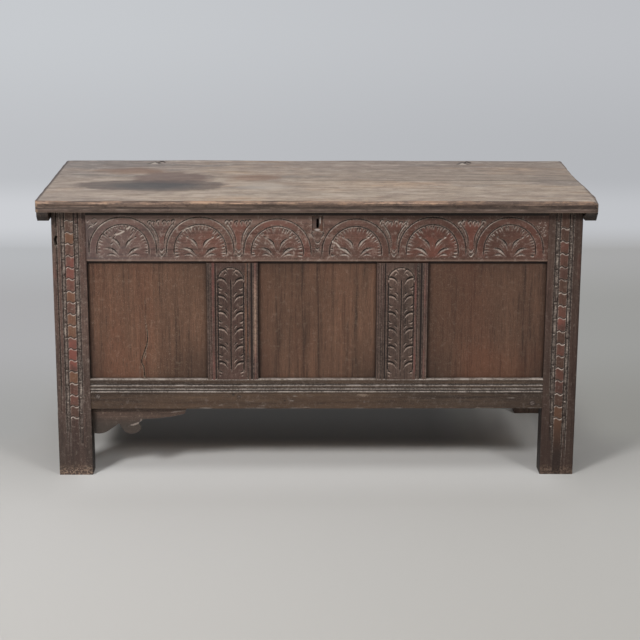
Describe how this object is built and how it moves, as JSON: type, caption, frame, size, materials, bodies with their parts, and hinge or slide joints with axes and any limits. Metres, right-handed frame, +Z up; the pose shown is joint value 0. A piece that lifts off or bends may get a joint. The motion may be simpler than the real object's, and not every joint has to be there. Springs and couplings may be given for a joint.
{
  "type": "coffer chest",
  "caption": "Joined oak coffer with framed and panelled sides, tall post feet, a hinged plank lid, an iron lock and one scroll bracket under the front.",
  "frame": {"origin": "on the floor under the middle of the lid", "axes": "+X along the length to the viewer's right when facing the carved front, -Y out of the front, +Z up"},
  "size_m": [1.24, 0.566, 0.644],
  "materials": {
    "carved_oak": "dark waxed oak, carved",
    "floor_oak": "dry unfinished oak",
    "frame_oak": "dark waxed oak",
    "lid_oak": "worn greyed oak",
    "panel_oak": "brown waxed oak",
    "wrought_iron": "dull dark hand-forged iron"
  },
  "bodies": {
    "carcase": {"back_bottom_rail": "frame_oak", "back_muntin_left": "frame_oak", "back_muntin_right": "frame_oak", "back_panel_left": "panel_oak", "back_panel_middle": "panel_oak", "back_panel_right": "panel_oak", "back_pegs": "frame_oak", "back_top_rail": "frame_oak", "bracket_brads": "wrought_iron", "floor_board_1": "floor_oak", "floor_board_2": "floor_oak", "floor_board_3": "floor_oak", "floor_board_4": "floor_oak", "floor_board_5": "floor_oak", "front_bottom_rail": "frame_oak", "front_muntin_left": "carved_oak", "front_muntin_right": "carved_oak", "front_panel_left": "panel_oak", "front_panel_middle": "panel_oak", "front_panel_right": "panel_oak", "front_pegs": "frame_oak", "front_top_rail": "carved_oak", "keyhole_plate": "wrought_iron", "keyhole_plate_pins": "wrought_iron", "left_end_bottom_rail": "frame_oak", "left_end_muntin": "frame_oak", "left_end_panel_back": "panel_oak", "left_end_panel_front": "panel_oak", "left_end_pegs": "frame_oak", "left_end_top_rail": "frame_oak", "lock_case": "wrought_iron", "lock_nails": "wrought_iron", "post_back_left": "frame_oak", "post_back_right": "frame_oak", "post_front_left": "carved_oak", "post_front_right": "carved_oak", "rail_hinge_eye_left": "wrought_iron", "rail_hinge_eye_right": "wrought_iron", "right_end_bottom_rail": "frame_oak", "right_end_muntin": "frame_oak", "right_end_panel_back": "panel_oak", "right_end_panel_front": "panel_oak", "right_end_pegs": "frame_oak", "right_end_top_rail": "frame_oak", "scroll_bracket": "frame_oak"},
    "lid": {"lid_cleat_left": "lid_oak", "lid_cleat_nails": "wrought_iron", "lid_cleat_right": "lid_oak", "lid_dowels": "frame_oak", "lid_front_board": "lid_oak", "lid_hinge_eye_left": "wrought_iron", "lid_hinge_eye_right": "wrought_iron", "lid_rear_board": "lid_oak", "lock_staple": "wrought_iron", "lock_staple_brads": "wrought_iron"},
    "bolt": {"lock_bolt": "wrought_iron"}
  },
  "joints": [
    {"name": "lid_hinge", "type": "hinge", "parent": "carcase", "child": "lid", "pos_m": [0, 0.269, 0.6075], "axis": [-1, 0, 0], "range_deg": [0, 100]},
    {"name": "bolt_slide", "type": "slide", "parent": "carcase", "child": "bolt", "axis": [1, 0, 0], "range_m": [0, 0.012]}
  ]
}
